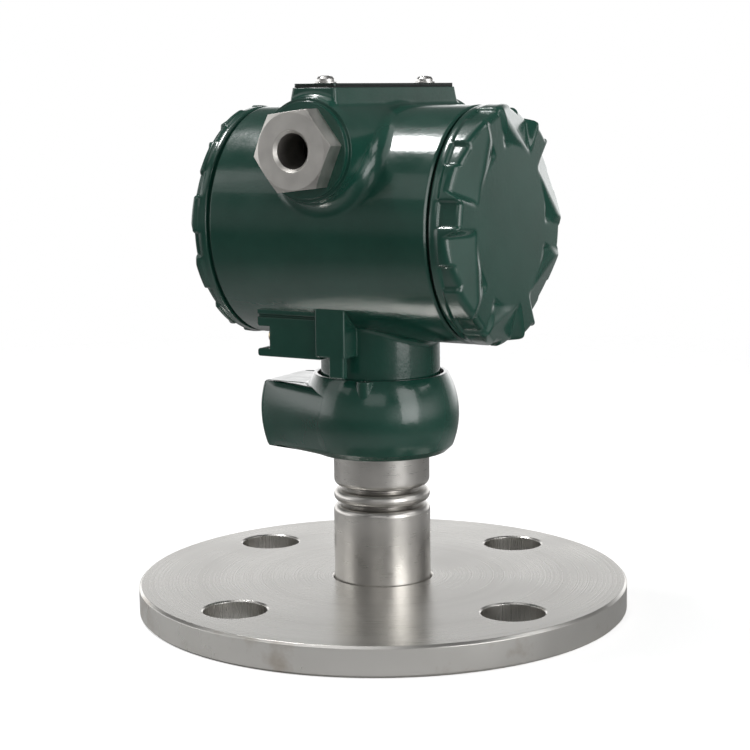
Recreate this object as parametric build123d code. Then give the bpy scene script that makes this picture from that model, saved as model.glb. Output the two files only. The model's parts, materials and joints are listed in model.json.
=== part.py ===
from build123d import *
import os
from math import cos, radians, sin

# Process flange: a bare stainless disc that the transmitter stands on.
flange_od = 165.0
flange_t = 9.8
flange_edge = 0.8
bolt_circle = 125.0
bolt_hole_d = 20.5
bolt_hole_edge = 0.5
bolt_count = 4
bolt_first_deg = 70.35

# Stem: foot welded into the flange, shaft, two grooves and a threaded spigot.
foot_r = 30.0
foot_t = 4.0
shaft_r = 16.3
shaft_top = 34.9
groove_r = 10.6
fin_r = 16.2
fin_base = 36.1
fin_top = 40.3
collar_r = 16.1
collar_base = 41.6
stem_edge = 2.1
stem_clear = 0.05
spigot_r = 13.0
spigot_top = 62.0
fill_bore_r = 2.0
fill_tube_r = 1.9
fill_tube_hole_r = 0.8
chamber_r = 20.0
chamber_top = 1.7
diaphragm_r = 23.5
diaphragm_t = 0.4
diaphragm_seat = 0.9
diaphragm_wave = 0.35
diaphragm_waves = 3

# Sensor cell inside the sensor body.
cell_flange_r = 14.0
cell_flange_t = 4.0
cell_can_r = 9.0
cell_top = 70.5
cell_tube_depth = 2.5
header_pin_r = 0.5
header_pin_circle = 5.5
header_pin_count = 5
header_pin_len = 2.5

# Sensor body: green casting with a mounting arm towards -X.
body_base = 53.4
body_top = 79.8
body_base_r = 24.2
body_base_edge = 2.0
body_belly_r = 26.2
body_belly_z = 66.5
body_top_r = 22.4
body_low_z = 55.3
cavity_r = 17.6
socket_floor = 72.6
mouth_r = 21.2
mouth_floor = 77.0
arm_half = 12.6
arm_top = 76.0
arm_end_mid = 40.4
arm_end_top = 38.7
arm_end_low = 37.8
arm_edge = 1.5
arm_blend = 8.0
arm_hole_r = 4.2
arm_hole_depth = 12.0
arm_hole_pitch = 12.0
stop_screw_r = 1.5
stop_screw_at = 22.3
stop_screw_deg = -74.0
stop_screw_base = 70.0
stop_screw_slot = 0.6
stop_boss_r = 2.6

# Housing: one casting with two compartments and a bridge between the conduits.
axis_z = 129.6
barrel_r = 38.3
barrel_left = -41.9
barrel_right = 37.4
barrel_edge = 0.6
thread_bore_r = 34.5
thread_bore_len = 14.0
cavity_bore_r = 33.4
bulkhead_left = -17.0
bulkhead_right = -13.0
neck_r = 19.9
neck_bottom = 73.0
neck_fit = 0.08
neck_passage_r = 12.0
neck_passage_top = 86.0
neck_blend = 2.0
wire_duct_r = 3.0
ring_groove_z = 75.4
ring_groove_half = 0.95
ring_groove_r = 18.4
ring_section_r = 0.75
conduit_z = axis_z + 25.1
conduit_r = 16.0
conduit_face = 45.0
conduit_step_r = 15.0
conduit_step_face = 47.0
conduit_blend = 5.0
conduit_bore_r = 10.05
conduit_bore_end = 27.0
conduit_passage_r = 7.0
conduit_passage_start = 15.0
bridge_half_x = 7.9
bridge_half_y = 40.5
bridge_over = 3.0
bridge_top = conduit_z + conduit_r + bridge_over
bridge_root_half_x = 10.4
bridge_root_half_y = 43.5
bridge_root_z = conduit_z + 0.3
bridge_blend = 2.5
bridge_corner = 1.2

# Bracket block under the barrel, with the grounding channel.
channel_front = -26.5
channel_back = -9.0
channel_tip = -31.4
channel_web = -26.8
channel_low = axis_z - 43.0
channel_slot_low = channel_low + 2.6
channel_slot_high = channel_slot_low + 7.4
channel_high = channel_low + 16.4
block_front = -28.0
block_left = -8.6
block_right = 2.4
block_low = channel_low + 1.0
block_high = channel_low + 19.4
tab_left = -3.5
tab_right = 2.0
tab_back = -25.4
tab_low = block_low - 6.6
rib_groove_z = channel_slot_high + 3.0
rib_groove = 1.0

# Screw covers. Levels are measured outwards from the barrel's end.
cover_gap = 1.1
cover_rim_r = 38.6
cover_ring_r = 38.3
cover_ring_w = 2.9
notch_r = 37.4
notch_half_deg = 6.6
notch_count = 12
first_notch_deg = 51.0
disc_r = 24.8
front_disc_w = 11.3
rear_disc_w = 6.6
ridge_inner_r = 26.5
ridge_inner_rise = 0.2
ridge_outer_r = 37.2
ridge_outer_rise = 1.9
facet_rim_drop = 1.5
pocket_drop = 2.6
sector_start_deg = 7.0
sector_end_deg = 53.0
roof_drop = 5.6
cover_thread_r = 34.4
cover_thread_inner_r = 31.4
cover_thread_len = 12.0
seal_land_r = 36.6
seal_land = 0.25
seal_seat_r = 36.5
seal_seat_depth = 1.0
seal_mean_r = 35.5
seal_section_r = 0.85
seal_seat_gap = 0.05

# Cable gland and blanking plug.
hex_flats = 24.0
hex_t = 7.1
hex_turn_deg = 7.0
hex_chamfer = 0.9
gland_bore_r = 5.5
gland_bore_edge = 1.0
gland_thread_r = 9.95
gland_thread_len = 9.0
gland_washer_t = 1.0
gland_bush_len = 7.0
plug_head_r = 12.5
plug_head_t = 4.0
plug_key_flats = 8.0
plug_key_depth = 6.0
plug_seal_r = 12.0
plug_seal_t = 1.5
plug_thread_len = 13.0

# Top plate and the two adjusters under it.
plate_t = 0.8
gasket_t = 0.5
plate_half_x = 7.5
plate_half_y = 40.0
plate_screw_y = 33.0
plate_screw_r = 1.45
plate_screw_len = 7.0
plate_head_r = 2.9
plate_head_t = 1.9
plate_washer_r = 3.6
plate_washer_t = 0.5
button_y = 9.0
button_head_r = 3.0
button_head_t = 1.6
button_stem_r = 1.5
button_top = bridge_top - 0.7
button_bottom = button_top - 15.0
button_well_r = button_head_r + 0.4
button_well_floor = button_top - 6.0
button_guide_r = button_stem_r + 0.05
spring_r = 2.4
spring_wire_r = 0.25
spring_turns = 4.0

# Contents of the two compartments.
terminal_r = 29.0
terminal_right = bulkhead_right + 14.0
terminal_top_z = axis_z + 9.4
terminal_rib_t = 1.6
terminal_rib_h = 7.0
terminal_pitch = 11.0
terminal_screw_r = 2.0
terminal_head_r = 3.2
terminal_head_t = 2.2
terminal_clamp = 8.0
terminal_clamp_t = 1.0
terminal_screw_z = axis_z - 1.6
terminal_rib_half = 7.0
terminal_screw_depth = 6.5
module_r = 30.0
module_left = bulkhead_left - 19.0
module_screw_r = 1.4
module_screw_at = 24.0
module_screw_len = 9.0
module_head_r = 2.6
module_head_t = 1.8
ground_screw_r = 1.7
ground_head_r = 2.8
ground_head_t = 2.0
ground_washer_r = 3.3
ground_washer_t = 0.7
ground_inner_y = 17.0
ground_inner_z = axis_z + 17.4
ground_inner_len = 2.5
ground_outer_len = 8.0
ground_outer_y = -21.2
ground_outer_z = (channel_slot_low + channel_slot_high) / 2


def turned(points):
    """A turned solid about Z from (r, z) points."""
    face = make_face(Polyline(*[(r, 0, z) for r, z in points], close=True))
    return revolve(face, Axis.Z, 360)


def ring(outer, inner, low, high):
    """A plain ring between two heights."""
    return turned([(inner, low), (outer, low), (outer, high), (inner, high)])


def rod(radius, low, high):
    """A round bar on the Z axis between two heights."""
    return Pos(0, 0, (low + high) / 2) * Cylinder(radius, high - low)


def block(x0, x1, y0, y1, z0, z1):
    """A box given by its six limits."""
    centre = Pos((x0 + x1) / 2, (y0 + y1) / 2, (z0 + z1) / 2)
    return centre * Box(x1 - x0, y1 - y0, z1 - z0)


def pan_head(radius, height, low):
    """A low domed screw head."""
    dome = turned([(0, low), (radius, low), (radius, low + height * 0.45),
                   (radius * 0.8, low + height * 0.85), (radius * 0.45, low + height), (0, low + height)])
    return dome - cross_recess(radius, height, low)


def cross_recess(radius, height, low):
    """The two crossed slots in a screw head."""
    width = radius * 0.24
    span = radius * 1.1
    top = low + height
    return (block(-span / 2, span / 2, -width / 2, width / 2, top - height * 0.5, top + 1)
            + block(-width / 2, width / 2, -span / 2, span / 2, top - height * 0.5, top + 1))


def barrel_plane(side):
    """A plane on the barrel's end whose Z axis points outwards; side is 1 or -1."""
    end = barrel_right if side > 0 else barrel_left
    return Plane(origin=(end, 0, axis_z), x_dir=(0, side, 0), z_dir=(side, 0, 0))


def process_flange():
    disc = turned([
        (shaft_r + stem_clear, foot_t), (foot_r + stem_clear, foot_t), (foot_r + stem_clear, 0),
        (flange_od / 2 - flange_edge, 0), (flange_od / 2, flange_edge),
        (flange_od / 2, flange_t - flange_edge), (flange_od / 2 - flange_edge, flange_t),
        (shaft_r + stem_clear + flange_edge, flange_t), (shaft_r + stem_clear, flange_t - flange_edge),
    ])
    half = bolt_hole_d / 2
    hole = turned([
        (0, -1), (half + bolt_hole_edge + 1, -1), (half, bolt_hole_edge), (half, flange_t - bolt_hole_edge),
        (half + bolt_hole_edge + 1, flange_t + 1), (0, flange_t + 1),
    ])
    for k in range(bolt_count):
        angle = bolt_first_deg + 360 / bolt_count * k
        disc -= Rot(0, 0, angle) * Pos(bolt_circle / 2, 0, 0) * hole
    return disc


def stem():
    solid = turned([
        (fill_bore_r, chamber_top), (chamber_r, chamber_top), (chamber_r, diaphragm_seat + diaphragm_t),
        (diaphragm_r + stem_clear, diaphragm_seat + diaphragm_t), (diaphragm_r + stem_clear, 0),
        (foot_r - flange_edge, 0), (foot_r, flange_edge), (foot_r, foot_t), (shaft_r, foot_t),
        (shaft_r, shaft_top), (groove_r, shaft_top), (groove_r, fin_base), (fin_r, fin_base),
        (fin_r, fin_top), (groove_r, fin_top), (groove_r, collar_base), (collar_r, collar_base),
        (collar_r, body_base), (spigot_r, body_base), (spigot_r, spigot_top), (fill_bore_r, spigot_top),
    ])
    rims = [edge for edge in solid.edges()
            if edge.geom_type == GeomType.CIRCLE and collar_r - 0.01 < edge.radius < shaft_r + 0.01
            and any(abs(edge.center().Z - z) < 0.01 for z in (shaft_top, fin_base, fin_top, collar_base))]
    return fillet(rims, stem_edge - 0.05)


def seal_diaphragm():
    """A thin disc with ring waves pressed into its middle."""
    low = diaphragm_seat
    wave = (chamber_r - 6) / (2 * diaphragm_waves)
    lower = [(0, low)]
    for k in range(diaphragm_waves * 2 + 1):
        lower.append((3 + wave * k, low + (diaphragm_wave if k % 2 else 0)))
    lower.append((diaphragm_r, low))
    upper = [(r, z + diaphragm_t) for r, z in reversed(lower)]
    return turned(lower + upper)


def fill_tube():
    return ring(fill_tube_r, fill_tube_hole_r, chamber_top, spigot_top + cell_tube_depth)


def sensor_cell():
    """The welded cell on the stem, with its header pins."""
    can = turned([
        (fill_tube_r + stem_clear, spigot_top), (cell_flange_r, spigot_top),
        (cell_flange_r, spigot_top + cell_flange_t), (cell_can_r, spigot_top + cell_flange_t),
        (cell_can_r, cell_top), (0, cell_top), (0, spigot_top + cell_tube_depth),
        (fill_tube_r + stem_clear, spigot_top + cell_tube_depth),
    ])
    for k in range(header_pin_count):
        can += Rot(0, 0, 360 / header_pin_count * k) * Pos(header_pin_circle, 0, 0) * rod(
            header_pin_r, cell_top - 1, cell_top + header_pin_len)
    return can


def sensor_body():
    """The casting between the stem and the housing's neck."""
    side = ThreePointArc((body_base_r, body_low_z), (body_belly_r, body_belly_z), (body_top_r, body_top))
    outline = (side + Line((body_top_r, body_top), (0, body_top)) + Line((0, body_top), (0, body_base))
               + Line((0, body_base), (body_base_r - body_base_edge, body_base))
               + Line((body_base_r - body_base_edge, body_base), (body_base_r, body_low_z)))
    hull = revolve(Plane.XZ * make_face(outline), Axis.Z, 360)
    end = ThreePointArc((-arm_end_low, body_base), (-arm_end_mid, 65.0), (-arm_end_top, arm_top))
    profile = (end + Line((-arm_end_top, arm_top), (0, arm_top)) + Line((0, arm_top), (0, body_base))
               + Line((0, body_base), (-arm_end_low, body_base)))
    arm = Pos(0, arm_half, 0) * extrude(Plane.XZ * make_face(profile), 2 * arm_half)
    hull = hull + arm
    creases = [edge for edge in hull.edges() if edge.geom_type not in (GeomType.LINE, GeomType.CIRCLE)
               and abs(abs(edge.center().Y) - arm_half) < 0.3 and edge.length > 10]
    hull = fillet(creases, arm_blend)
    rims = [edge for edge in hull.edges() if edge.center().X < -15
            and (abs(edge.center().Z - arm_top) < 0.3 or abs(edge.center().Z - body_base) < 0.3
                 or edge.center().X < -arm_end_top)]
    hull = fillet(rims, arm_edge)
    hull += Rot(0, 0, stop_screw_deg) * Pos(stop_screw_at, 0, 0) * rod(stop_boss_r, stop_screw_base, body_top)
    hull -= turned([
        (0, body_base - 1), (spigot_r + stem_clear, body_base - 1), (spigot_r + stem_clear, spigot_top),
        (cavity_r, spigot_top), (cavity_r, socket_floor), (neck_r + neck_fit, socket_floor),
        (neck_r + neck_fit, mouth_floor), (mouth_r, mouth_floor), (mouth_r, body_top + 1), (0, body_top + 1),
    ])
    hull -= Rot(0, 0, stop_screw_deg) * Pos(stop_screw_at, 0, 0) * rod(
        stop_screw_r + stem_clear, stop_screw_base + 1, body_top + 1)
    for sign in (-1, 1):
        hole = Pos(-arm_end_mid, sign * arm_hole_pitch / 2, 65.0) * Rot(0, 90, 0) * rod(
            arm_hole_r, -1, arm_hole_depth)
        hull -= hole
    return hull


def swivel_stop_screw():
    """The upright set screw in the rim of the sensor body."""
    screw = rod(stop_screw_r, stop_screw_base + 1, body_top - 0.1)
    screw -= block(-3, 3, -stop_screw_slot / 2, stop_screw_slot / 2, body_top - 0.9, body_top + 1)
    return Rot(0, 0, stop_screw_deg) * Pos(stop_screw_at, 0, 0) * Rot(0, 0, 35) * screw


def conduit_shape(side):
    """One round conduit boss with its raised ring, on the side given by the sign."""
    boss = rod(conduit_r, 0, conduit_face) + rod(conduit_step_r, conduit_face - 1, conduit_step_face)
    return Pos(0, 0, conduit_z) * Rot(-90 * side, 0, 0) * boss


def housing():
    """The housing casting."""
    length = barrel_right - barrel_left
    middle = (barrel_right + barrel_left) / 2
    shell = Pos(middle, 0, axis_z) * Rot(0, 90, 0) * Cylinder(barrel_r, length)
    shell = chamfer([edge for edge in shell.edges() if edge.geom_type == GeomType.CIRCLE], barrel_edge)
    cross = shell + conduit_shape(1) + conduit_shape(-1)
    seams = [edge for edge in cross.edges()
             if edge.geom_type == GeomType.BSPLINE and edge.center().Z > axis_z and edge.length > 40]
    cross = fillet(seams, conduit_blend)
    roof = loft([
        Pos(0, 0, bridge_root_z) * RectangleRounded(
            2 * bridge_root_half_x, 2 * bridge_root_half_y, bridge_corner),
        Pos(0, 0, bridge_top) * RectangleRounded(2 * bridge_half_x, 2 * bridge_half_y, bridge_corner),
    ])
    cross += roof
    creases = [edge for edge in cross.edges() if edge.geom_type not in (GeomType.LINE, GeomType.CIRCLE)
               and bridge_root_z + 1 < edge.center().Z < bridge_top - 1 and abs(edge.center().X) < conduit_r]
    cross = fillet(creases, bridge_blend)
    neck = rod(neck_r, neck_bottom, axis_z - barrel_r + 12)
    cross += neck
    creases = [edge for edge in cross.edges() if edge.geom_type == GeomType.BSPLINE
               and neck_bottom + 3 < edge.center().Z < axis_z - 15]
    cross = fillet(creases, neck_blend)
    cross += bracket()
    return cross - hollows()


def bracket():
    """The block, channel and tab below the barrel on the gland's side."""
    piece = block(channel_tip, block_left + 1, channel_front, channel_back, channel_low, channel_high)
    piece -= block(channel_tip - 1, channel_web, channel_front - 1, channel_back + 1,
                   channel_slot_low, channel_slot_high)
    tips = [edge for edge in piece.edges() if edge.center().X < channel_web - 1]
    piece = fillet([edge for edge in tips if edge.length > 10], 0.9)
    piece -= block(channel_tip - 1, block_left, channel_front - 1, channel_front + rib_groove,
                   rib_groove_z, rib_groove_z + rib_groove)
    lump = block(block_left, block_right, block_front, channel_back, block_low, block_high)
    lump += block(tab_left, tab_right, block_front, tab_back, tab_low, block_low + 1)
    piece += fillet([edge for edge in lump.edges() if abs(edge.center().Y - block_front) < 0.1
                     and edge.center().Z < block_high - 1], 0.7)
    well = rod(ground_screw_r, 0, ground_outer_len + 1)
    piece -= Pos(channel_web, ground_outer_y, ground_outer_z) * Rot(0, 90, 0) * well
    return piece


def hollows():
    """Everything that is bored or machined out of the housing."""
    left = barrel_plane(-1).location
    right = barrel_plane(1).location
    thread = rod(thread_bore_r, -thread_bore_len, 1) + rod(seal_seat_r, -seal_seat_depth, 1)
    cut = left * thread + right * thread
    cut += left * rod(cavity_bore_r, barrel_left - bulkhead_left, 1)
    cut += right * rod(cavity_bore_r, bulkhead_right - barrel_right, 1)
    for side in (1, -1):
        entry = Pos(0, 0, conduit_z) * Rot(-90 * side, 0, 0)
        cut += entry * rod(conduit_bore_r, conduit_bore_end, conduit_step_face + 1)
        cut += entry * rod(conduit_passage_r, conduit_passage_start, conduit_bore_end + 1)
    cut += rod(neck_passage_r, neck_bottom - 1, neck_passage_top)
    start = (-7.0, 0, neck_passage_top - 2.0)
    cut += Plane(origin=start, z_dir=(-1, 0, 1.05)).location * rod(wire_duct_r, 0, 21)
    low = ring_groove_z - ring_groove_half
    cut += ring(neck_r + 1, ring_groove_r, low, ring_groove_z + ring_groove_half)
    for y in (-button_y, button_y):
        cut += Pos(0, y, 0) * (rod(button_well_r, button_well_floor, bridge_top + 1)
                               + rod(button_guide_r, axis_z, button_well_floor + 1))
    for y in (-plate_screw_y, plate_screw_y):
        cut += Pos(0, y, 0) * rod(plate_screw_r + 0.05, bridge_top - plate_screw_len - 1, bridge_top + 1)
    inner = Pos(bulkhead_right, ground_inner_y, ground_inner_z) * Rot(0, 90, 0)
    cut += inner * rod(ground_screw_r, -ground_inner_len - 0.5, 1)
    return cut


def neck_o_ring():
    middle = (ring_groove_r + neck_r) / 2 + 0.05
    return Pos(0, 0, ring_groove_z) * Torus(middle, ring_section_r)


def sector(start, end, outer):
    """A wedge of a disc between two angles, on the plane."""
    a, b, m = radians(start), radians(end), radians((start + end) / 2)
    arc = ThreePointArc((outer * cos(a), outer * sin(a)), (outer * cos(m), outer * sin(m)),
                        (outer * cos(b), outer * sin(b)))
    return make_face(Line((0, 0), arc @ 0) + arc + Line(arc @ 1, (0, 0)))


def polar(radius, degrees, level):
    angle = radians(degrees)
    return Vector(radius * cos(angle), radius * sin(angle), level)


def above(a, b, c):
    """The half space over the plane through three points."""
    normal = (b - a).cross(c - a)
    if normal.Z < 0:
        normal = normal * -1
    reach = 3 * cover_rim_r
    lift = Pos(0, 0, reach / 2)
    return Plane(origin=(a + b + c) / 3, z_dir=normal).location * lift * Box(2 * reach, 2 * reach, reach)


def facet_cuts(level, inner_deg, outer_deg):
    """What is cut away over one sector of a cover, so that a ridge runs from its disc out to its rim."""
    low, high = sorted((inner_deg, outer_deg))
    wedge = extrude(sector(low, high, cover_rim_r + 3), level + ridge_outer_rise + 2)
    wedge -= rod(disc_r, -1, level + 9)
    near = polar(ridge_inner_r, inner_deg, level + ridge_inner_rise)
    far = polar(ridge_outer_r, outer_deg, level + ridge_outer_rise)
    rim = polar(cover_rim_r, inner_deg, level - facet_rim_drop)
    deep = polar(disc_r, outer_deg, level - pocket_drop)
    return wedge & above(near, far, rim), wedge & above(near, far, deep)


def cover(side, level):
    """A screw cover: faceted face, notched rim and threaded spigot, built on its own axis."""
    top = level + ridge_outer_rise
    solid = rod(cover_rim_r, cover_gap, top)
    star = Circle(disc_r).face()
    for k in range(3):
        middle = first_notch_deg + 120 * k
        for turn in (-1, 1):
            facet, pocket = facet_cuts(level, middle + turn * sector_start_deg, middle + turn * sector_end_deg)
            solid = solid - facet - pocket
        for strip in (middle, middle + 60):
            star += sector(strip - sector_start_deg, strip + sector_start_deg, cover_rim_r + 1)
    solid -= Pos(0, 0, level) * extrude(star, ridge_outer_rise + 1)
    groove = rod(cover_rim_r + 2, cover_gap + cover_ring_w, top + 1) - rod(notch_r, 0, top + 2)
    notch = extrude(sector(-notch_half_deg, notch_half_deg, cover_rim_r + 3), top + 1) & groove
    for k in range(notch_count):
        solid -= Rot(0, 0, first_notch_deg + 360 / notch_count * k) * notch
    solid -= ring(cover_rim_r + 1, cover_ring_r, cover_gap - 1, cover_gap + cover_ring_w)
    land = cover_gap - seal_land
    solid += rod(seal_land_r, land, cover_gap + 1)
    solid += rod(cover_thread_r, -cover_thread_len, land + 0.5)
    solid -= rod(cover_thread_inner_r, -cover_thread_len - 1, level - roof_drop)
    return barrel_plane(side).location * solid


def cover_seal(side):
    """The round rubber ring that seals a cover on the barrel's end."""
    section = Torus(seal_mean_r, seal_section_r)
    low = -seal_seat_depth + seal_seat_gap + seal_section_r
    return barrel_plane(side).location * Pos(0, 0, low) * section


def hexagon(flats, low, high):
    """A hexagonal bar on the Z axis with chamfered corners at its top."""
    corner = flats / 2 / cos(radians(30))
    bar = extrude(Pos(0, 0, low) * RegularPolygon(corner, 6), high - low)
    cone = turned([(0, low), (corner + 1, low), (corner + 1, high - hex_chamfer),
                   (flats / 2 - 0.2, high), (0, high)])
    return bar & cone


def conduit_place(side):
    """Places a piece that stands on Z onto a conduit; its zero is the housing's axis plane."""
    return Pos(0, 0, conduit_z) * Rot(-90 * side, 0, 0)


def gland_nut():
    face = conduit_step_face
    nut = Rot(0, 0, hex_turn_deg) * hexagon(hex_flats, face, face + hex_t)
    nut += rod(gland_thread_r, face - gland_thread_len, face)
    nut -= rod(gland_bore_r, 0, face + hex_t + 1)
    mouth = turned([(0, face + hex_t - gland_bore_edge), (gland_bore_r, face + hex_t - gland_bore_edge),
                    (gland_bore_r + gland_bore_edge + 0.5, face + hex_t + 0.5), (0, face + hex_t + 0.5)])
    return conduit_place(-1) * (nut - mouth)


def gland_washer():
    high = conduit_step_face - gland_thread_len
    return conduit_place(-1) * ring(gland_thread_r, gland_bore_r + 0.3, high - gland_washer_t, high)


def gland_bush():
    low = conduit_bore_end
    return conduit_place(-1) * ring(gland_thread_r - 0.1, gland_bore_r - 0.5, low, low + gland_bush_len)


def blanking_plug():
    face = conduit_step_face + plug_seal_t
    tip = face - plug_seal_t - plug_thread_len
    plug = turned([(0, tip), (gland_thread_r, tip), (gland_thread_r, face), (plug_head_r, face),
                   (plug_head_r, face + plug_head_t - 0.8), (plug_head_r - 0.8, face + plug_head_t),
                   (0, face + plug_head_t)])
    corner = plug_key_flats / 2 / cos(radians(30))
    top = face + plug_head_t
    plug -= extrude(Pos(0, 0, top - plug_key_depth) * RegularPolygon(corner, 6), plug_key_depth + 1)
    return conduit_place(1) * plug


def plug_seal():
    return conduit_place(1) * ring(plug_seal_r, gland_thread_r + 0.1, conduit_step_face,
                                   conduit_step_face + plug_seal_t)


def plate_outline(low, high, holes):
    """A rounded strip on top of the bridge, drilled for its two screws."""
    outline = RectangleRounded(2 * plate_half_x, 2 * plate_half_y, bridge_corner)
    strip = extrude(Pos(0, 0, low) * outline, high - low)
    for y in (-plate_screw_y, plate_screw_y):
        strip -= Pos(0, y, 0) * rod(holes, low - 1, high + 1)
    return strip


def plate_gasket():
    return plate_outline(bridge_top, bridge_top + gasket_t, plate_screw_r + 0.3)


def top_plate():
    return plate_outline(bridge_top + gasket_t, bridge_top + gasket_t + plate_t, plate_screw_r + 0.15)


def plate_washers():
    low = bridge_top + gasket_t + plate_t
    washer = ring(plate_washer_r, plate_screw_r + 0.15, low, low + plate_washer_t)
    return Compound([Pos(0, y, 0) * washer for y in (-plate_screw_y, plate_screw_y)])


def plate_screws():
    low = bridge_top + gasket_t + plate_t + plate_washer_t
    screw = pan_head(plate_head_r, plate_head_t, low) + rod(plate_screw_r, low - plate_screw_len, low)
    return Compound([Pos(0, y, 0) * screw for y in (-plate_screw_y, plate_screw_y)])


def adjust_button(y):
    """A push button that stands in its well under the top plate."""
    button = rod(button_head_r, button_top - button_head_t, button_top)
    button += rod(button_stem_r, button_bottom, button_top)
    return Pos(0, y, 0) * button


def adjust_spring(y):
    """The coil under a button's head."""
    low = button_well_floor + spring_wire_r + 0.05
    high = button_top - button_head_t - spring_wire_r - 0.05
    path = Helix((high - low) / spring_turns, high - low, spring_r)
    start = Plane(origin=path @ 0, z_dir=path % 0)
    coil = sweep(start * Circle(spring_wire_r), path, is_frenet=True)
    return Pos(0, y, low) * coil


def terminal_block():
    """The moulded block with its three barriers and two ribs."""
    base = Pos(bulkhead_right, 0, axis_z) * Rot(0, 90, 0) * rod(
        terminal_r, 0, terminal_right - bulkhead_right)
    base &= block(bulkhead_right, terminal_right, -terminal_r, terminal_r, axis_z - terminal_r, terminal_top_z)
    high = terminal_right + terminal_rib_h
    for k in range(4):
        y = (k - 1.5) * terminal_pitch
        base += block(terminal_right - 1, high, y - terminal_rib_t / 2, y + terminal_rib_t / 2,
                      terminal_screw_z - terminal_rib_half, terminal_screw_z + terminal_rib_half)
    for k in range(3):
        y = (k - 1) * terminal_pitch
        base -= Pos(0, y, terminal_screw_z) * Rot(0, 90, 0) * rod(
            terminal_screw_r, terminal_right - terminal_screw_depth - 0.5, terminal_right + 1)
    return base


def terminal_clamps():
    """The three square wire clamps under the terminal screws."""
    half = terminal_clamp / 2
    clamps = []
    for k in range(3):
        y = (k - 1) * terminal_pitch
        clamp = block(terminal_right, terminal_right + terminal_clamp_t, y - half, y + half,
                      terminal_screw_z - half, terminal_screw_z + half)
        hole = Pos(0, y, terminal_screw_z) * Rot(0, 90, 0) * rod(
            terminal_screw_r + 0.1, terminal_right - 1, terminal_right + terminal_clamp_t + 1)
        clamps.append(clamp - hole)
    return Compound(clamps)


def terminal_screws():
    low = terminal_right + terminal_clamp_t
    screw = pan_head(terminal_head_r, terminal_head_t, low) + rod(
        terminal_screw_r, terminal_right - terminal_screw_depth, low)
    screws = []
    for k in range(3):
        y = (k - 1) * terminal_pitch
        screws.append(Pos(0, y, terminal_screw_z) * Rot(0, 90, 0) * screw)
    return Compound(screws)


def electronics_module():
    """The potted can with its board, fixed in the other compartment."""
    length = bulkhead_left - module_left
    can = rod(module_r, 0, length)
    can = chamfer([edge for edge in can.edges() if abs(edge.center().Z - length) < 0.1
                   and edge.geom_type == GeomType.CIRCLE], 1.0)
    for k in range(3):
        can -= Rot(0, 0, 90 + 120 * k) * Pos(module_screw_at, 0, 0) * rod(
            module_screw_r, length - module_screw_len - 1, length + 1)
    return Pos(bulkhead_left, 0, axis_z) * Rot(0, -90, 0) * can


def module_screws():
    length = bulkhead_left - module_left
    screw = pan_head(module_head_r, module_head_t, length)
    screw += rod(module_screw_r, length - module_screw_len, length)
    screws = []
    for k in range(3):
        screws.append(Pos(bulkhead_left, 0, axis_z) * Rot(0, -90, 0) * Rot(0, 0, 90 + 120 * k)
                      * Pos(module_screw_at, 0, 0) * screw)
    return Compound(screws)


def ground_screw(place, depth):
    """A grounding screw with its head outwards along Z."""
    screw = pan_head(ground_head_r, ground_head_t, ground_washer_t)
    return place * (screw + rod(ground_screw_r, -depth, ground_washer_t))


def ground_washer(place):
    return place * ring(ground_washer_r, ground_screw_r + 0.1, 0, ground_washer_t)


inner_ground = Pos(bulkhead_right, ground_inner_y, ground_inner_z) * Rot(0, 90, 0)
outer_ground = Pos(channel_web, ground_outer_y, ground_outer_z) * Rot(0, -90, 0)


def save(name, solid):
    export_step(solid, os.path.join("parts", name + ".step"))


os.makedirs("parts", exist_ok=True)
for maker in (process_flange, stem, seal_diaphragm, fill_tube, sensor_cell, sensor_body, swivel_stop_screw,
              housing, neck_o_ring, gland_nut, gland_washer, gland_bush, blanking_plug, plug_seal,
              plate_gasket, top_plate, plate_washers, plate_screws, terminal_block, terminal_clamps,
              terminal_screws, electronics_module, module_screws):
    save(maker.__name__, maker())
save("front_cover", cover(1, front_disc_w))
save("rear_cover", cover(-1, rear_disc_w))
save("front_cover_seal", cover_seal(1))
save("rear_cover_seal", cover_seal(-1))
save("zero_button", adjust_button(-button_y))
save("span_button", adjust_button(button_y))
save("zero_spring", adjust_spring(-button_y))
save("span_spring", adjust_spring(button_y))
save("inner_ground_screw", ground_screw(inner_ground, ground_inner_len))
save("outer_ground_screw", ground_screw(outer_ground, ground_outer_len))
save("inner_ground_washer", ground_washer(inner_ground))
save("outer_ground_washer", ground_washer(outer_ground))
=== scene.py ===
import json
from math import cos, radians, sin

import bpy
import numpy as np
from mathutils import Matrix, Vector


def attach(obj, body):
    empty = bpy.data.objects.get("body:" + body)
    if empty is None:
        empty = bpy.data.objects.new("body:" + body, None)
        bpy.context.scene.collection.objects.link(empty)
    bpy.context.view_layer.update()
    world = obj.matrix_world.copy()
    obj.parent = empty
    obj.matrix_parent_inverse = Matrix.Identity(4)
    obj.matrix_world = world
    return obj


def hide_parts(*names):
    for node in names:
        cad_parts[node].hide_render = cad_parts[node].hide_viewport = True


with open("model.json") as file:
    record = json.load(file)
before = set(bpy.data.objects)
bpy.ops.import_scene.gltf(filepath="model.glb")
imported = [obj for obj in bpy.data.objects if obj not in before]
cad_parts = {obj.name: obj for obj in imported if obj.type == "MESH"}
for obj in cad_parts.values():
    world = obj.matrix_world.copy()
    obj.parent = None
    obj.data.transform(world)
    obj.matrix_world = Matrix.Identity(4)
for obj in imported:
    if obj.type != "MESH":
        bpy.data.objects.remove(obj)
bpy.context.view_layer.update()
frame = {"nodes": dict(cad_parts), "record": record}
print("frame loaded", len(frame["nodes"]), "nodes")

perMetre = 1000.0  # covers and cheeks are worked out in millimetres
noiseRange = (0.3, 0.7)  # nearly all of a noise lies between these
bevelSamples = 6


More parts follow.
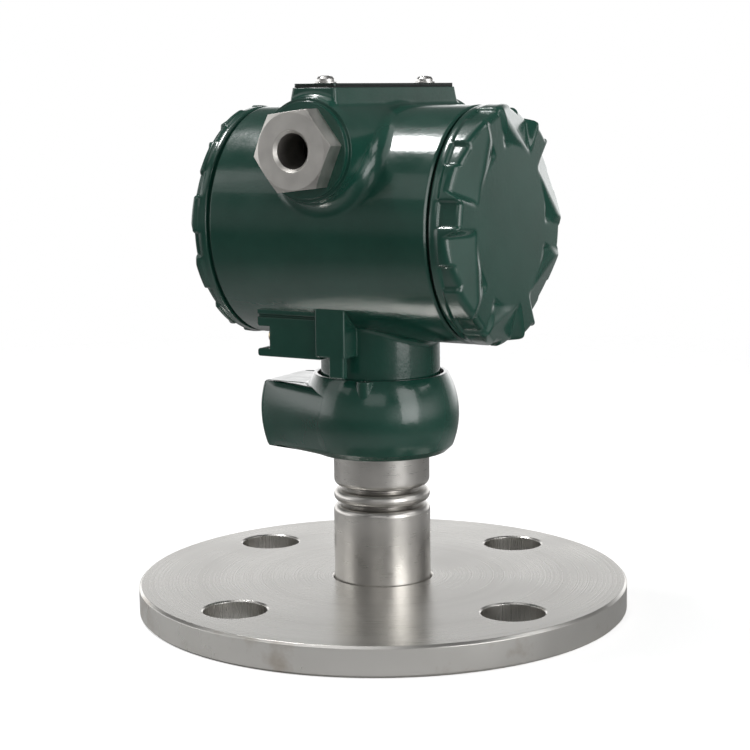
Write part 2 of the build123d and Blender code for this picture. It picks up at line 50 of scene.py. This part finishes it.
class Wire:
    # a shader socket that adds, multiplies and compares like a number
    def __init__(self, tree, socket):
        self.tree = tree
        self.socket = socket

    def node(self, kind, settings=None, out=0, **sockets):
        # adds a node to the tree; its inputs are given by name, or by place as n0, n1 and so on
        made = self.tree.nodes.new(kind)
        for name, value in (settings or {}).items():
            setattr(made, name, value)
        for name, value in sockets.items():
            byPlace = name[0] == "n" and name[1:].isdigit()
            target = made.inputs[int(name[1:]) if byPlace else name]
            if isinstance(value, Wire):
                self.tree.links.new(value.socket, target)
            else:
                target.default_value = value
        return Wire(self.tree, made.outputs[out])

    def math(self, operation, other):
        return self.node("ShaderNodeMath", {"operation": operation}, n0=self, n1=other)

    def __add__(self, other):
        return self.math("ADD", other)

    def __sub__(self, other):
        return self.math("SUBTRACT", other)

    def __rsub__(self, other):
        return self.node("ShaderNodeMath", {"operation": "SUBTRACT"}, n0=other, n1=self)

    def __mul__(self, other):
        return self.math("MULTIPLY", other)

    def __pow__(self, other):
        return self.math("POWER", other)

    def __gt__(self, other):
        return self.math("GREATER_THAN", other)

    def ramp(self, low, high, outLow=0.0, outHigh=1.0):
        # a straight line from outLow at low to outHigh at high, level outside the two
        return self.node("ShaderNodeMapRange", n0=self, n1=low, n2=high, n3=outLow, n4=outHigh)

    def spread(self, outLow=0.0, outHigh=1.0):
        return self.ramp(*noiseRange, outLow, outHigh)

    def blend(self, first, second):
        # the first colour at 0, the second at 1
        return self.node("ShaderNodeMix", {"data_type": "RGBA"}, out=2, n0=self, n6=first, n7=second)


def colour(parts):
    return (*parts, 1.0)


def material(name, base, roughness, metallic=0.0, others=None):
    # one principled shader; others are further socket values by name
    made = bpy.data.materials.new(name)
    made.use_nodes = True
    made.diffuse_color = colour(base)
    tree = made.node_tree
    shader = tree.nodes["Principled BSDF"]
    settings = {"Base Color": colour(base), "Roughness": roughness, "Metallic": metallic, **(others or {})}
    for key, value in settings.items():
        shader.inputs[key].default_value = value
    return made, tree, shader


def source(tree, kind, output):
    # a wire from a new node that takes nothing in
    return Wire(tree, tree.nodes.new(kind).outputs[output])


def pointOn(tree):
    # where the shaded point lies on its object, in metres
    return source(tree, "ShaderNodeTexCoord", "Object")


def split(vector):
    # x, y and z of a vector
    apart = vector.node("ShaderNodeSeparateXYZ", Vector=vector).socket.node
    return [Wire(vector.tree, output) for output in apart.outputs]


def distance(x, y):
    # the root of x squared and y squared
    return (x * x + y * y) ** 0.5


def average(first, second):
    return first * 0.5 + second * 0.5


def noise(vector, scale, detail=2.0, roughness=0.5):
    return vector.node("ShaderNodeTexNoise", {"noise_dimensions": "3D"}, Vector=vector, Scale=scale,
                       Detail=detail, Roughness=roughness)


def lineNoise(value, scale, detail=2.0):
    # noise along one number, as a tool leaves it on a turned face
    return value.node("ShaderNodeTexNoise", {"noise_dimensions": "1D"}, W=value, Scale=scale, Detail=detail)


def link(shader, name, wire):
    wire.tree.links.new(wire.socket, shader.inputs[name])


def setBump(shader, height, depth, strength, edge):
    # links a height to the shader's normal, over edges rounded to the given radius
    bevel = height.node("ShaderNodeBevel", {"samples": bevelSamples}, Radius=edge)
    bump = height.node("ShaderNodeBump", Strength=strength, Distance=depth, Height=height, Normal=bevel)
    link(shader, "Normal", bump)


# Green powder coat: deep green under a glossy skin with a faint orange peel.
paint = {
    "base": (0.0085, 0.055, 0.038), "light": (0.012, 0.068, 0.048), "mottleScale": 60.0,
    "roughness": 0.2, "smoother": 0.03, "rougher": 0.06, "sheenScale": 140.0,
    "coat": 0.4, "coatRoughness": 0.07,
    "peelScale": 700.0, "peelDepth": 0.00006, "peelStrength": 0.6, "edge": 0.0007,
}


def paintMaterial():
    made, tree, shader = material("greenPaint", paint["base"], paint["roughness"], others={
        "Coat Roughness": paint["coatRoughness"], "Coat Weight": paint["coat"]})
    vector = pointOn(tree)
    mottle = noise(vector, paint["mottleScale"], detail=3.0).spread()
    sheen = noise(vector, paint["sheenScale"])
    peel = noise(vector, paint["peelScale"])
    link(shader, "Base Color", mottle.blend(colour(paint["base"]), colour(paint["light"])))
    link(shader, "Roughness", sheen.spread(paint["roughness"] - paint["smoother"],
                                           paint["roughness"] + paint["rougher"]))
    setBump(shader, peel, paint["peelDepth"], paint["peelStrength"], paint["edge"])
    return made


# Turned flange: satin steel whose tool marks run round its centre, and along its rim beyond rimFrom.
flangeLook = {
    "base": (0.70, 0.685, 0.655), "dark": (0.60, 0.585, 0.555), "broadScale": 90.0, "cloudScale": 35.0,
    "shadeRange": (0.35, 0.65),
    "roughness": 0.28, "smoother": 0.06, "rougher": 0.08,
    "markScale": 2400.0, "markDepth": 0.00001, "markStrength": 0.15, "edge": 0.0003,
    "rimFrom": 0.0818, "rimScale": 2600.0, "rimSlant": 0.2,
    "stain": (0.34, 0.27, 0.2), "stainScale": 45.0, "stainRoughness": 0.6, "stainRange": (0.56, 0.70),
    "stainShare": 0.5,
}


def flangeMaterial():
    look = flangeLook
    made, tree, shader = material("flangeSteel", look["base"], look["roughness"], metallic=1.0)
    vector = pointOn(tree)
    x, y, z = split(vector)
    radius = distance(x, y)
    onRim = radius > look["rimFrom"]
    marks = lineNoise(radius, look["markScale"], detail=3.0)
    rimMarks = lineNoise(z + radius * look["rimSlant"], look["rimScale"])
    broad = lineNoise(radius, look["broadScale"])
    cloud = noise(vector, look["cloudScale"], detail=3.0)
    shade = average(broad, cloud).ramp(*look["shadeRange"])
    clean = shade.blend(colour(look["dark"]), colour(look["base"]))
    patches = noise(vector, look["stainScale"], detail=5.0, roughness=look["stainRoughness"])
    stain = patches.ramp(*look["stainRange"]) * onRim * look["stainShare"]
    link(shader, "Base Color", stain.blend(clean, colour(look["stain"])))
    link(shader, "Roughness", average(marks, cloud).spread(look["roughness"] - look["smoother"],
                                                           look["roughness"] + look["rougher"]))
    height = marks * (1.0 - onRim) + rimMarks * onRim
    setBump(shader, height, look["markDepth"], look["markStrength"], look["edge"])
    return made


# Turned stem: satin steel with rings up its height and, because its radius counts too, over its flat faces.
stemLook = {
    "base": (0.63, 0.61, 0.58), "dark": (0.51, 0.495, 0.47), "shadeScale": 70.0,
    "roughness": 0.3, "smoother": 0.05, "rougher": 0.08, "cloudScale": 240.0,
    "markScale": 2600.0, "markSlant": 0.7, "markDepth": 0.000008, "markStrength": 0.2, "edge": 0.0003,
}


def stemMaterial():
    look = stemLook
    made, tree, shader = material("turnedSteel", look["base"], look["roughness"], metallic=1.0)
    vector = pointOn(tree)
    x, y, z = split(vector)
    rings = lineNoise(z + distance(x, y) * look["markSlant"], look["markScale"])
    marks = average(rings, noise(vector, look["cloudScale"], detail=3.0))
    shade = noise(vector, look["shadeScale"], detail=3.0).spread()
    link(shader, "Base Color", shade.blend(colour(look["dark"]), colour(look["base"])))
    link(shader, "Roughness", marks.spread(look["roughness"] - look["smoother"],
                                           look["roughness"] + look["rougher"]))
    setBump(shader, marks, look["markDepth"], look["markStrength"], look["edge"])
    return made


# Small metal pieces: a grain over a metal with slightly darker, smoother clouds.
metalLooks = {
    "diaphragmSteel": {"base": (0.70, 0.69, 0.66), "roughness": 0.2, "grain": 1500.0, "depth": 0.00001},
    "glandSteel": {"base": (0.70, 0.68, 0.645), "roughness": 0.45, "grain": 2600.0, "depth": 0.00003},
    "plugSteel": {"base": (0.55, 0.535, 0.51), "roughness": 0.38, "grain": 2200.0, "depth": 0.00003},
    "screwSteel": {"base": (0.68, 0.67, 0.65), "roughness": 0.25, "grain": 1800.0, "depth": 0.00001},
    "platedBrass": {"base": (0.66, 0.56, 0.36), "roughness": 0.3, "grain": 1800.0, "depth": 0.00001},
    "plateMetal": {"base": (0.05, 0.065, 0.06), "roughness": 0.35, "grain": 1500.0, "depth": 0.00001},
}
metalWear = {
    "dim": 0.86, "cloudScale": 180.0, "smoother": 0.05, "rougher": 0.07,
    "grainStrength": 0.6, "edge": 0.00025,
}


def metalMaterial(name):
    look, wear = metalLooks[name], metalWear
    made, tree, shader = material(name, look["base"], look["roughness"], metallic=1.0)
    vector = pointOn(tree)
    grain = noise(vector, look["grain"])
    cloud = noise(vector, wear["cloudScale"], detail=3.0)
    worn = colour(wear["dim"] * part for part in look["base"])
    link(shader, "Base Color", cloud.spread().blend(worn, colour(look["base"])))
    link(shader, "Roughness", cloud.spread(look["roughness"] - wear["smoother"],
                                           look["roughness"] + wear["rougher"]))
    setBump(shader, grain, look["depth"], wear["grainStrength"], wear["edge"])
    return made


# Rubber and plastic: a matt grain over a colour with slightly lighter clouds.
softLooks = {
    "blackRubber": {"base": (0.012, 0.012, 0.012), "roughness": 0.7, "grain": 1200.0, "depth": 0.00004},
    "blackPlastic": {"base": (0.02, 0.02, 0.022), "roughness": 0.5, "grain": 1500.0, "depth": 0.00003},
    "buttonPlastic": {"base": (0.55, 0.55, 0.52), "roughness": 0.4, "grain": 1500.0, "depth": 0.00002},
}
softWear = {
    "lift": 1.3, "cloudScale": 120.0, "smoother": 0.06, "rougher": 0.08,
    "grainStrength": 0.6, "edge": 0.00025,
}


def softMaterial(name):
    look, wear = softLooks[name], softWear
    made, tree, shader = material(name, look["base"], look["roughness"])
    vector = pointOn(tree)
    grain = noise(vector, look["grain"], detail=3.0)
    cloud = noise(vector, wear["cloudScale"])
    light = colour(wear["lift"] * part for part in look["base"])
    link(shader, "Base Color", cloud.spread().blend(colour(look["base"]), light))
    link(shader, "Roughness", grain.spread(look["roughness"] - wear["smoother"],
                                           look["roughness"] + wear["rougher"]))
    setBump(shader, grain, look["depth"], wear["grainStrength"], wear["edge"])
    return made


looks = {
    "flange_steel": flangeMaterial(),
    "turned_steel": stemMaterial(),
    "diaphragm_steel": metalMaterial("diaphragmSteel"),
    "green_paint": paintMaterial(),
    "gland_steel": metalMaterial("glandSteel"),
    "plug_steel": metalMaterial("plugSteel"),
    "screw_steel": metalMaterial("screwSteel"),
    "plated_brass": metalMaterial("platedBrass"),
    "black_rubber": softMaterial("blackRubber"),
    "plate_metal": metalMaterial("plateMetal"),
    "black_plastic": softMaterial("blackPlastic"),
    "button_plastic": softMaterial("buttonPlastic"),
}
slotOf = {part["node"]: part["material_slot"] for part in frame["record"]["subparts"]}
for name, obj in frame["nodes"].items():
    obj.data.materials.clear()
    obj.data.materials.append(looks[slotOf[name]])
print("materials on", len(slotOf), "nodes")


# Screw covers: the cast face, its notched rim and the threaded spigot. Radii and heights are in millimetres
# on the cover's own axis, heights from the housing's end outwards, and turns are in degrees.
coverLook = {
    "axisHeight": 129.6, "columns": 480,
    # face: a disc and six strips, with a ridge, a pocket and a facet in each sector between the strips
    "discRadius": 24.8, "stripHalf": 7.0, "firstStrip": 51.0, "sectorSpan": 46.0,
    "ridgeInner": 0.2, "ridgeOuter": 35.4, "blend": 1.5, "wallFrom": -0.2, "wall": 2.6,
    "innerRows": (0.15, 0.62, 6), "outerRows": (0.66, 1.0, 44), "bowRows": (10.0, 90.0, 8),
    # rim and its notches, then the lip down to the plain ring
    "rimRadius": 38.6, "notches": 12, "notchRadius": 37.4, "notchHalf": 6.6, "notchWall": 0.9,
    "sideRows": (0.12, 0.3, 0.5, 0.7, 0.88, 1.0), "sideFoot": 0.5,
    "lipRows": ((0.15, 0.25), (0.65, 0.08), (1.0, 0.0)),
    # ring, the land inside it and the spigot's thread
    "ringRadius": 38.3, "ringTop": 4.0, "ringMiddle": 2.6, "gap": 1.1, "ringRound": 0.5, "ringEase": 0.15,
    "landRadius": 36.6, "land": 0.85, "landEase": 0.05, "neckIn": 0.2,
    "threadRadius": 34.4, "threadDepth": 0.75, "threadPitch": 2.0, "threadLength": 12.0, "threadRows": 78,
    "threadTop": 0.1, "threadFoot": 0.6, "flank": (0.12, 0.88), "fadeIn": (0.5, 2.0), "fadeOut": (0.6, 2.2),
    # bore and its roof
    "tipBevel": 1.2, "boreRadius": 31.4, "mouthBevel": 0.4, "mouth": 4.0, "roofDrop": 5.6, "roofRound": 0.8,
    "roofEase": 0.25, "roofRows": (0.66, 0.33),
}
coverPlaces = {
    "front_cover": {
        "end": 37.4, "side": 1, "level": 11.3,
        "rise": 1.35, "rimDrop": -4.4, "pocketDrop": -1.8, "rimEdge": 1.9,
    },
    "rear_cover": {
        "end": -41.9, "side": -1, "level": 6.6,
        "rise": 0.7, "rimDrop": -0.8, "pocketDrop": -1.2, "rimEdge": 1.1,
    },
}


def smoothStep(value, low, high):
    # 0 below low and 1 above high, with an S-curve between: three squares less two cubes of the share
    share = np.clip((value - low) / (high - low), 0.0, 1.0)
    return share * share * (3.0 - 2.0 * share)


def softLeast(first, second, width):
    # the lesser of two heights, rounded over where they cross
    share = np.clip(0.5 + 0.5 * (second - first) / width, 0.0, 1.0)
    return second * (1.0 - share) + first * share - width * share * (1.0 - share)


def away(turn, pitch):
    # degrees from the nearest of the marks that stand a pitch apart, the first strip among them
    return np.abs((turn - coverLook["firstStrip"] + pitch / 2) % pitch - pitch / 2)


def planeHeight(points, across, up):
    # height at (across, up) of the plane through three (radius, degrees, height) points
    rows = [[radius * np.cos(np.radians(turn)), radius * np.sin(np.radians(turn)), 1.0]
            for radius, turn, height in points]
    slopes = np.linalg.solve(np.array(rows), np.array([height for radius, turn, height in points]))
    return slopes[0] * across + slopes[1] * up + slopes[2]


def coverFace(radius, turn, place):
    # a flat disc and six strips at level zero, and between strips a ridge with a pocket inside and a facet
    # outside; sectors stand in mirrored pairs, so the pattern repeats after two sectors and two strips
    look = coverLook
    low, high = look["stripHalf"], look["stripHalf"] + look["sectorSpan"]
    bend = away(turn, 2 * (high + low))
    across, up = radius * np.cos(np.radians(bend)), radius * np.sin(np.radians(bend))
    near = (look["discRadius"], low, look["ridgeInner"])
    far = (look["ridgeOuter"], high, place["rise"])
    facet = planeHeight([near, far, (look["rimRadius"], low, place["rimDrop"])], across, up)
    pocket = planeHeight([near, far, (look["discRadius"], high, place["pocketDrop"])], across, up)
    sector = softLeast(facet, pocket, look["blend"])
    inside = np.radians(np.minimum(bend - low, high - bend)) * radius
    beside = smoothStep(inside, look["wallFrom"], look["wall"])
    beyond = smoothStep(radius, look["discRadius"], look["discRadius"] + look["wall"])
    return sector * (beside * beyond)


def rimReach(turn):
    # the rim's radius: a land, or lower in each of the twelve notches
    look = coverLook
    beyond = np.radians(away(turn, 360.0 / look["notches"]) - look["notchHalf"]) * look["rimRadius"]
    drop = 1.0 - smoothStep(beyond, -look["notchWall"], 0.0)
    return look["rimRadius"] - (look["rimRadius"] - look["notchRadius"]) * drop


def evenRows(turn, steps):
    # a row for each (radius, height) step, the same all the way round
    return [(np.full_like(turn, radius), np.full_like(turn, height)) for radius, height in steps]


def faceRows(turn, place):
    # the face from near its centre, over the rounded edge and down the side to the ring
    look = coverLook
    reach, edge = rimReach(turn), place["rimEdge"]
    flat = np.concatenate([np.linspace(*look["innerRows"]), np.linspace(*look["outerRows"])])[:, None]
    faceRadius = flat * (reach - edge)
    bow = np.radians(np.linspace(*look["bowRows"]))[:, None]
    bowRadius = reach - edge + edge * np.sin(bow)
    bowHeight = place["level"] + coverFace(bowRadius, turn, place) - edge * (1.0 - np.cos(bow))
    side = np.array(look["sideRows"])[:, None]
    top = bowHeight[-1:]
    rows = [
        (faceRadius, place["level"] + coverFace(faceRadius, turn, place)),
        (bowRadius, bowHeight),
        (reach + 0 * side, top + (look["ringTop"] + look["sideFoot"] - top) * side),
    ]
    for share, lift in look["lipRows"]:
        lipRadius = reach + (look["ringRadius"] - reach) * share
        rows.append((lipRadius, np.full_like(turn, look["ringTop"] + lift)))
    return rows


def ringRows(turn):
    # the plain ring, its foot beside the housing and the land that leads to the thread
    look = coverLook
    ring, gap, land, ease = look["ringRadius"], look["gap"], look["land"], look["landEase"]
    return evenRows(turn, [
        (ring, look["ringMiddle"]), (ring, gap + look["ringRound"]),
        (ring - look["ringEase"], gap + look["ringEase"]), (ring - look["ringRound"], gap),
        (look["landRadius"] + ease, gap), (look["landRadius"], land + ease),
        (look["landRadius"] - ease, land), (look["threadRadius"] - look["neckIn"], land),
    ])


def threadRows(turn):
    # a helix: the crest climbs one pitch in a turn, and fades into the root at both ends
    look = coverLook
    foot = -look["threadLength"]
    top, bottom = look["land"] - look["threadTop"], look["threadFoot"] + foot
    along = np.linspace(top, bottom, look["threadRows"])[:, None]
    phase = (along / look["threadPitch"] - turn / 360.0) % 1.0
    crest = smoothStep(np.abs(phase - 0.5) * 2.0, *look["flank"])
    leaving = smoothStep(along, foot + look["fadeOut"][0], foot + look["fadeOut"][1])
    live = leaving * smoothStep(-along, *look["fadeIn"])
    radius = look["threadRadius"] - look["threadDepth"] * (1.0 - live * (1.0 - crest))
    return [(radius, along + 0 * turn)]


def boreRows(turn, place):
    # round the spigot's tip, up the bore and over its roof
    look = coverLook
    tip, bore, roof = -look["threadLength"], look["boreRadius"], place["level"] - look["roofDrop"]
    bevel, edge, ease = look["mouthBevel"], look["roofRound"], look["roofEase"]
    steps = [
        (look["threadRadius"] - look["tipBevel"], tip), (bore + bevel, tip), (bore, tip + bevel),
        (bore, tip + look["mouth"]), (bore, (tip + roof) / 2), (bore, roof - edge),
        (bore - ease, roof - ease), (bore - edge, roof),
    ]
    return evenRows(turn, steps + [(bore * share, roof) for share in look["roofRows"]])


def makeSurface(name, rings, poles, flip=False):
    # closes rows of points into a mesh: quads between rows, fans to the two end points; flip turns the faces
    rows, columns = rings.shape[:2]
    points = np.concatenate([rings.reshape(-1, 3), np.array(poles)])
    first = np.arange(columns)
    after = (first + 1) % columns
    starts = np.arange(rows - 1)[:, None] * columns
    here, beside = starts + first, starts + after
    quads = np.stack([here, here + columns, beside + columns, beside], axis=-1).reshape(-1, 4)
    last = (rows - 1) * columns
    start, end = rows * columns, rows * columns + 1
    fans = np.concatenate([np.stack([np.full(columns, start), first, after], axis=-1),
                           np.stack([np.full(columns, end), last + after, last + first], axis=-1)])
    if flip:
        quads, fans = quads[:, ::-1], fans[:, ::-1]
    mesh = bpy.data.meshes.new(name)
    mesh.from_pydata(points.tolist(), [], quads.tolist() + fans.tolist())
    mesh.polygons.foreach_set("use_smooth", np.ones(len(mesh.polygons), dtype=bool))
    mesh.update()
    piece = bpy.data.objects.new(name, mesh)
    bpy.context.collection.objects.link(piece)
    return piece


def castCover(node):
    # rows from the face's centre round to the roof's centre, then turned so that the axis runs along X
    place = coverPlaces[node]
    turn = np.linspace(0.0, 360.0, coverLook["columns"], endpoint=False)[None, :]
    rows = faceRows(turn, place) + ringRows(turn) + threadRows(turn) + boreRows(turn, place)
    radius = np.concatenate([row[0] for row in rows])
    height = np.concatenate([row[1] for row in rows])
    across = radius * np.cos(np.radians(turn)) * place["side"]
    up = radius * np.sin(np.radians(turn)) + coverLook["axisHeight"]
    out = place["end"] + place["side"] * height
    rings = np.stack([out, across, up], axis=-1) / perMetre
    ends = [place["end"] + place["side"] * place["level"],
            place["end"] + place["side"] * (place["level"] - coverLook["roofDrop"])]
    poles = [(end / perMetre, 0.0, coverLook["axisHeight"] / perMetre) for end in ends]
    piece = makeSurface(node + "_cast", rings, poles)
    piece.data.materials.append(looks["green_paint"])
    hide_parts(node)
    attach(piece, node)


for node in coverPlaces:
    castCover(node)
print("covers cast")


# Arm cheeks: faces that run from the arm's end tangent to the sensor body, in millimetres.
cheekLook = {
    # the arm: its lower and upper faces, their rounded edge, and its end, which bows towards the faces
    "low": 53.6, "top": 75.97, "edge": 2.2, "edgeRows": 7, "armHalf": 12.55, "corner": 1.3,
    "endMid": 40.4, "endFall": 0.016, "endLevel": 65.5,
    # the sensor body's circle, which narrows away from its widest level
    "bellyRadius": 26.2, "bellyLevel": 66.5, "bellyLow": 0.016, "bellyHigh": 0.0215,
    # the tangent line, the arc past its end and the line inside
    "rows": 30, "columns": 40, "firstShares": (0.0, 0.003), "nextShare": 0.02, "pullTo": 0.25,
    "past": 12.0, "pastShares": (0.1, 1.0, 8), "dive": 0.5,
    "depth": 1.3, "inside": 0.3, "thickness": 0.02, "least": 0.01,
}


def armCheek(side):
    # each level is a straight tangent from the arm's corner to the body's circle, then an arc that dives
    # into the body, closed by a line inside both
    look = cheekLook
    bow = np.radians(np.linspace(0.0, 90.0, look["edgeRows"]))
    rise = look["edge"] * (1.0 - np.cos(bow))
    inset = look["edge"] * (1.0 - np.sin(bow))
    middle = np.linspace(look["low"] + look["edge"], look["top"] - look["edge"], look["rows"])[1:-1]
    level = np.concatenate([look["low"] + rise, middle, look["top"] - rise[::-1]])[:, None]
    shrink = np.concatenate([inset, np.zeros(len(middle)), inset[::-1]])[:, None]
    above = level - look["bellyLevel"]
    belly = look["bellyRadius"] - np.where(above < 0, look["bellyLow"], look["bellyHigh"]) * above ** 2
    corner = look["endMid"] - look["endFall"] * (level - look["endLevel"]) ** 2 - look["corner"]
    touch = np.arctan2(look["armHalf"], corner) + np.arccos(belly / np.hypot(corner, look["armHalf"]))
    nextShares = np.linspace(look["nextShare"], 1.0, look["columns"])
    share = np.concatenate([look["firstShares"], nextShares])[None, :]
    outX = corner + (belly * np.cos(touch) - corner) * share
    outY = look["armHalf"] + (belly * np.sin(touch) - look["armHalf"]) * share
    past = np.linspace(*look["pastShares"])[None, :]
    dive = belly - look["dive"] * past
    turned = touch + np.radians(look["past"]) * past
    outX = np.concatenate([outX, dive * np.cos(turned)], axis=1)
    outY = np.concatenate([outY, dive * np.sin(turned)], axis=1)
    share = np.concatenate([share, 1.0 + past], axis=1)
    pull = shrink * smoothStep(share, 0.0, look["pullTo"])
    wall = np.sqrt(np.maximum((belly - look["depth"]) ** 2 - outX ** 2, 0.0))
    innerY = np.minimum(np.maximum(look["armHalf"] - look["inside"], wall), outY - look["thickness"])
    outY = np.maximum(outY - pull, innerY + look["least"])
    acrossX = np.concatenate([-outX, -outX[:, ::-1]], axis=1)
    acrossY = np.concatenate([outY, innerY[:, ::-1]], axis=1) * side
    rings = np.stack([acrossX, acrossY, level + 0 * acrossX], axis=-1) / perMetre
    poles = [rings[0].mean(axis=0), rings[-1].mean(axis=0)]
    piece = makeSurface("arm_cheek_" + ("back" if side > 0 else "front"), rings, poles, flip=side > 0)
    piece.data.materials.append(looks["green_paint"])
    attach(piece, "base")


for side in (-1, 1):
    armCheek(side)
print("arm cheeks")


# Floor: a round sheet that fades out before its edge, and shows white to the camera but for the shadow. To
# reflections and bounce it shows a painted pool of light: light near the object, darker further out.
floorLook = {
    "radius": 0.75, "steps": 96, "fadeFrom": 0.2, "fadeTo": 0.7, "roughness": 0.9, "sheen": 0.1,
    "seen": (0.86, 0.86, 0.86), "glow": (0.56, 0.56, 0.56), "unlit": (0.0, 0.0, 0.0),
    "near": (0.62, 0.62, 0.62), "far": (0.2, 0.2, 0.2), "nearTo": 0.13, "farFrom": 0.24,
}


def makeFloor():
    # a ring of points around the origin, radius times the cosine and sine of the angle, and one face
    look = floorLook
    turns = np.linspace(0.0, 2 * np.pi, look["steps"], endpoint=False)
    rim = np.stack([np.cos(turns), np.sin(turns), np.zeros_like(turns)], axis=1) * look["radius"]
    mesh = bpy.data.meshes.new("floor")
    mesh.from_pydata(rim.tolist(), [], [list(range(look["steps"]))])
    floor = bpy.data.objects.new("floor", mesh)
    bpy.context.collection.objects.link(floor)
    made, tree, shader = material("floorPaint", look["seen"], look["roughness"], others={
        "Emission Strength": 1.0, "Specular IOR Level": look["sheen"]})
    x, y = split(pointOn(tree))[:2]
    radius = distance(x, y)
    seen = source(tree, "ShaderNodeLightPath", "Is Camera Ray")
    # painted pool of light seen only in reflections and bounce: the near colour close to the object, the far
    # colour further out
    paintedPool = radius.ramp(look["nearTo"], look["farFrom"]).blend(colour(look["near"]), colour(look["far"]))
    link(shader, "Base Color", seen.blend(paintedPool, colour(look["seen"])))
    link(shader, "Emission Color", seen.blend(colour(look["unlit"]), colour(look["glow"])))
    link(shader, "Alpha", radius.ramp(look["fadeFrom"], look["fadeTo"], 1.0, 0.0))
    mesh.materials.append(made)


# Room: light by direction, bright behind the object, dimmer on the camera's side and above, and white where
# the camera looks past the object. The ahead pair is the camera's own direction on the ground.
room = {
    "aheadX": -0.494, "aheadY": 0.870, "soft": 0.35,
    "back": 1.9, "rightShare": 0.12, "rightFull": 0.5,
    "front": 0.3, "side": 1.5, "sideRange": (0.55, 0.95),
    "top": 0.12, "low": 0.16, "high": 0.36, "below": 0.25, "belowFull": -0.15,
}


def makeWorld():
    world = bpy.data.worlds.new("room")
    bpy.context.scene.world = world
    world.use_nodes = True
    tree = world.node_tree
    background = tree.nodes["Background"]
    toX, toY, toZ = split(source(tree, "ShaderNodeTexCoord", "Generated"))
    ahead = toX * room["aheadX"] + toY * room["aheadY"]
    behind = toX.ramp(0.0, room["rightFull"], room["back"], room["back"] * room["rightShare"])
    aside = toX.ramp(*room["sideRange"], room["front"], room["side"])
    around = ahead.ramp(-room["soft"], room["soft"]) * (behind - aside) + aside
    glow = around + (room["top"] - around) * toZ.ramp(room["low"], room["high"])
    lit = glow * toZ.ramp(room["belowFull"], 0.0, room["below"], 1.0)
    seen = source(tree, "ShaderNodeLightPath", "Is Camera Ray")
    link(background, "Color", lit * (1.0 - seen) + seen)
    background.inputs["Strength"].default_value = 1.0


# Lamps: size in their own x and y, power in watts, where they stand and what they point at, in metres.
lamps = [
    {"name": "topBox", "size": (0.9, 0.5), "power": 1.3,
     "at": (-0.15, -0.10, 0.95), "to": (0.0, 0.0, 0.10)},
    {"name": "leftBox", "size": (0.5, 0.9), "power": 1.1,
     "at": (-0.85, -0.55, 0.45), "to": (0.0, 0.0, 0.10)},
    {"name": "rightBox", "size": (0.5, 0.9), "power": 4.2,
     "at": (0.95, -0.30, 0.36), "to": (0.0, 0.0, 0.10)},
    {"name": "window", "size": (0.25, 0.055), "power": 3.2,
     "at": (-0.40, -0.06, 0.935), "to": (0.03, -0.03, 0.155)},
    {"name": "softBox", "size": (0.35, 0.35), "power": 0.25,
     "at": (-0.46, -0.64, 0.67), "to": (0.0, 0.0, 0.14)},
    {"name": "edgeBox", "size": (0.35, 0.35), "power": 0.9,
     "at": (0.72, 0.27, 0.65), "to": (0.0, -0.05, 0.15)},
    {"name": "frontBox", "size": (0.6, 0.3), "power": 0.6,
     "at": (0.35, -0.95, 0.55), "to": (0.0, 0.0, 0.10)},
]


def makeLamp(lamp):
    data = bpy.data.lights.new(lamp["name"], "AREA")
    data.shape = "RECTANGLE"
    data.size, data.size_y = lamp["size"]
    data.energy = lamp["power"]
    made = bpy.data.objects.new(lamp["name"], data)
    bpy.context.collection.objects.link(made)
    made.location = lamp["at"]
    aim = Vector(lamp["to"]) - Vector(lamp["at"])
    made.rotation_euler = aim.to_track_quat("-Z", "Y").to_euler()


makeFloor()
makeWorld()
for lamp in lamps:
    makeLamp(lamp)
print("room and", len(lamps), "lamps")


# Camera: the place, aim and lens worked out from the flange's ellipses, in metres, degrees and millimetres.
shot = {
    "at": (0.294958, -0.523289, 0.172454), "azimuth": 29.59, "down": 8.892, "roll": -0.655,
    "lens": 87.085, "sensor": 36.0, "nearest": 0.01,
}


def makeCamera():
    # the aim is the azimuth's sine and cosine on the ground, lowered by the down angle, and the roll turns
    # the picture about it
    azimuth, down, roll = (radians(shot[key]) for key in ("azimuth", "down", "roll"))
    ahead = Vector((-sin(azimuth) * cos(down), cos(azimuth) * cos(down), -sin(down)))
    right = ahead.cross(Vector((0, 0, 1))).normalized()
    up = right.cross(ahead)
    across = cos(roll) * right + sin(roll) * up
    upward = -sin(roll) * right + cos(roll) * up
    data = bpy.data.cameras.new("camera")
    data.sensor_width = shot["sensor"]
    data.lens = shot["lens"]
    data.clip_start = shot["nearest"]
    camera = bpy.data.objects.new("camera", data)
    bpy.context.collection.objects.link(camera)
    turn = Matrix((across, upward, -ahead)).transposed().to_4x4()
    camera.matrix_world = Matrix.Translation(Vector(shot["at"])) @ turn
    bpy.context.scene.camera = camera


makeCamera()
bpy.context.scene.view_settings.view_transform = "Standard"
print("camera placed")
